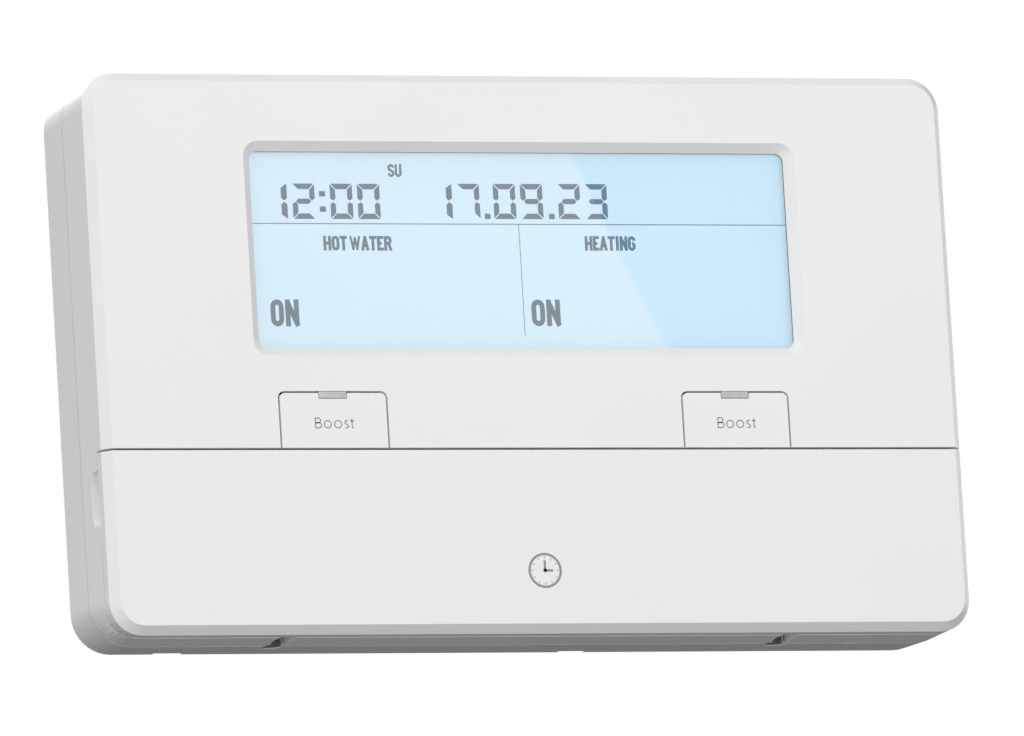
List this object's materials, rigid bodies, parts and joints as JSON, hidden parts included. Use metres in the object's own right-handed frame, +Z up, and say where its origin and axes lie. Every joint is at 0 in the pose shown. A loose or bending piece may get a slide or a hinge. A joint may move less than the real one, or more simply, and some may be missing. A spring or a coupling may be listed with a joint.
{
  "type": "programmable heating timer",
  "caption": "Wall-mounted white timer unit with a wide display, boost buttons, a hinged flap over its control keys and a separate wiring plate behind.",
  "frame": {"origin": "centre of the case outline on the wall plane", "axes": "+Y into the wall, +X to the right as seen from the front, +Z up"},
  "size_m": [0.161, 0.023, 0.1],
  "materials": {
    "white_shell": "fine satin moulded",
    "plate_white": "matt moulded",
    "key_white": "satin moulded",
    "clear_lens": "clear polished acrylic",
    "lcd_grey": "display glass",
    "diffuser": "milky",
    "light_pipe": "moulded clear",
    "dark_plastic": "matt",
    "grey_plastic": "satin",
    "board": "solder resist",
    "steel": "zinc plated",
    "brass": "tinned brass",
    "rubber": "silicone",
    "seal": "matt rubber",
    "ceramic": "ceramic and tin",
    "blue_epoxy": "dipped epoxy",
    "sleeve": "shrink sleeve"
  },
  "bodies": {
    "wall_plate": {"wall_plate": "plate_white", "terminal_blocks": "plate_white", "terminal_screws": "steel"},
    "unit": {"case_front": "white_shell", "case_rear": "white_shell", "seam_seal": "seal", "lcd_lens": "clear_lens", "lcd_holder": "dark_plastic", "lcd_glass": "lcd_grey", "lcd_backlight": "diffuser", "contact_strips": "rubber", "main_board": "board", "board_chips": "dark_plastic", "board_parts": "ceramic", "status_leds": "diffuser", "light_pipes": "light_pipe", "board_switches": "dark_plastic", "slide_switch_body": "steel", "coin_cell": "steel", "cell_holder": "dark_plastic", "relays": "dark_plastic", "power_module": "dark_plastic", "capacitors": "sleeve", "varistor": "blue_epoxy", "contact_blades": "brass", "case_screws": "steel", "board_screws": "steel", "screw_guides": "grey_plastic"},
    "flap": {"flap": "white_shell"},
    "boost_left": {"boost_left": "white_shell"},
    "boost_right": {"boost_right": "white_shell"},
    "key_select_1": {"key_select_1": "key_white"},
    "key_advance_1": {"key_advance_1": "key_white"},
    "key_minus": {"key_minus": "key_white"},
    "key_ok": {"key_ok": "key_white"},
    "key_menu": {"key_menu": "key_white"},
    "key_plus": {"key_plus": "key_white"},
    "key_select_2": {"key_select_2": "key_white"},
    "key_advance_2": {"key_advance_2": "key_white"},
    "reset_key": {"reset_key": "grey_plastic"},
    "mode_slider": {"mode_slider": "grey_plastic"},
    "retaining_screw_left": {"retaining_screw_left": "steel"},
    "retaining_screw_right": {"retaining_screw_right": "steel"}
  },
  "joints": [
    {"name": "unit_slide", "type": "slide", "parent": "wall_plate", "child": "unit", "axis": [0, -1, 0], "range_m": [0, 0.03]},
    {"name": "flap_hinge", "type": "hinge", "parent": "unit", "child": "flap", "pos_m": [0, -0.0207, -0.0472], "axis": [1, 0, 0], "range_deg": [0, 95]},
    {"name": "boost_left_press", "type": "slide", "parent": "unit", "child": "boost_left", "axis": [0, 1, 0], "range_m": [0, 0.0006], "stiffness_N_per_m": 400},
    {"name": "boost_right_press", "type": "slide", "parent": "unit", "child": "boost_right", "axis": [0, 1, 0], "range_m": [0, 0.0006], "stiffness_N_per_m": 400},
    {"name": "key_select_1_press", "type": "slide", "parent": "unit", "child": "key_select_1", "axis": [0, 1, 0], "range_m": [0, 0.0005], "stiffness_N_per_m": 400},
    {"name": "key_advance_1_press", "type": "slide", "parent": "unit", "child": "key_advance_1", "axis": [0, 1, 0], "range_m": [0, 0.0005], "stiffness_N_per_m": 400},
    {"name": "key_minus_press", "type": "slide", "parent": "unit", "child": "key_minus", "axis": [0, 1, 0], "range_m": [0, 0.0005], "stiffness_N_per_m": 400},
    {"name": "key_ok_press", "type": "slide", "parent": "unit", "child": "key_ok", "axis": [0, 1, 0], "range_m": [0, 0.0005], "stiffness_N_per_m": 400},
    {"name": "key_menu_press", "type": "slide", "parent": "unit", "child": "key_menu", "axis": [0, 1, 0], "range_m": [0, 0.0005], "stiffness_N_per_m": 400},
    {"name": "key_plus_press", "type": "slide", "parent": "unit", "child": "key_plus", "axis": [0, 1, 0], "range_m": [0, 0.0005], "stiffness_N_per_m": 400},
    {"name": "key_select_2_press", "type": "slide", "parent": "unit", "child": "key_select_2", "axis": [0, 1, 0], "range_m": [0, 0.0005], "stiffness_N_per_m": 400},
    {"name": "key_advance_2_press", "type": "slide", "parent": "unit", "child": "key_advance_2", "axis": [0, 1, 0], "range_m": [0, 0.0005], "stiffness_N_per_m": 400},
    {"name": "reset_key_press", "type": "slide", "parent": "unit", "child": "reset_key", "axis": [0, 1, 0], "range_m": [0, 0.0005], "stiffness_N_per_m": 400},
    {"name": "mode_slide", "type": "slide", "parent": "unit", "child": "mode_slider", "axis": [1, 0, 0], "range_m": [0, 0.0068]},
    {"name": "retaining_screw_left_turn", "type": "hinge", "parent": "unit", "child": "retaining_screw_left", "pos_m": [-0.0468, -0.0095, -0.041], "axis": [0, 0, 1], "continuous": true},
    {"name": "retaining_screw_right_turn", "type": "hinge", "parent": "unit", "child": "retaining_screw_right", "pos_m": [0.0468, -0.0095, -0.041], "axis": [0, 0, 1], "continuous": true}
  ]
}
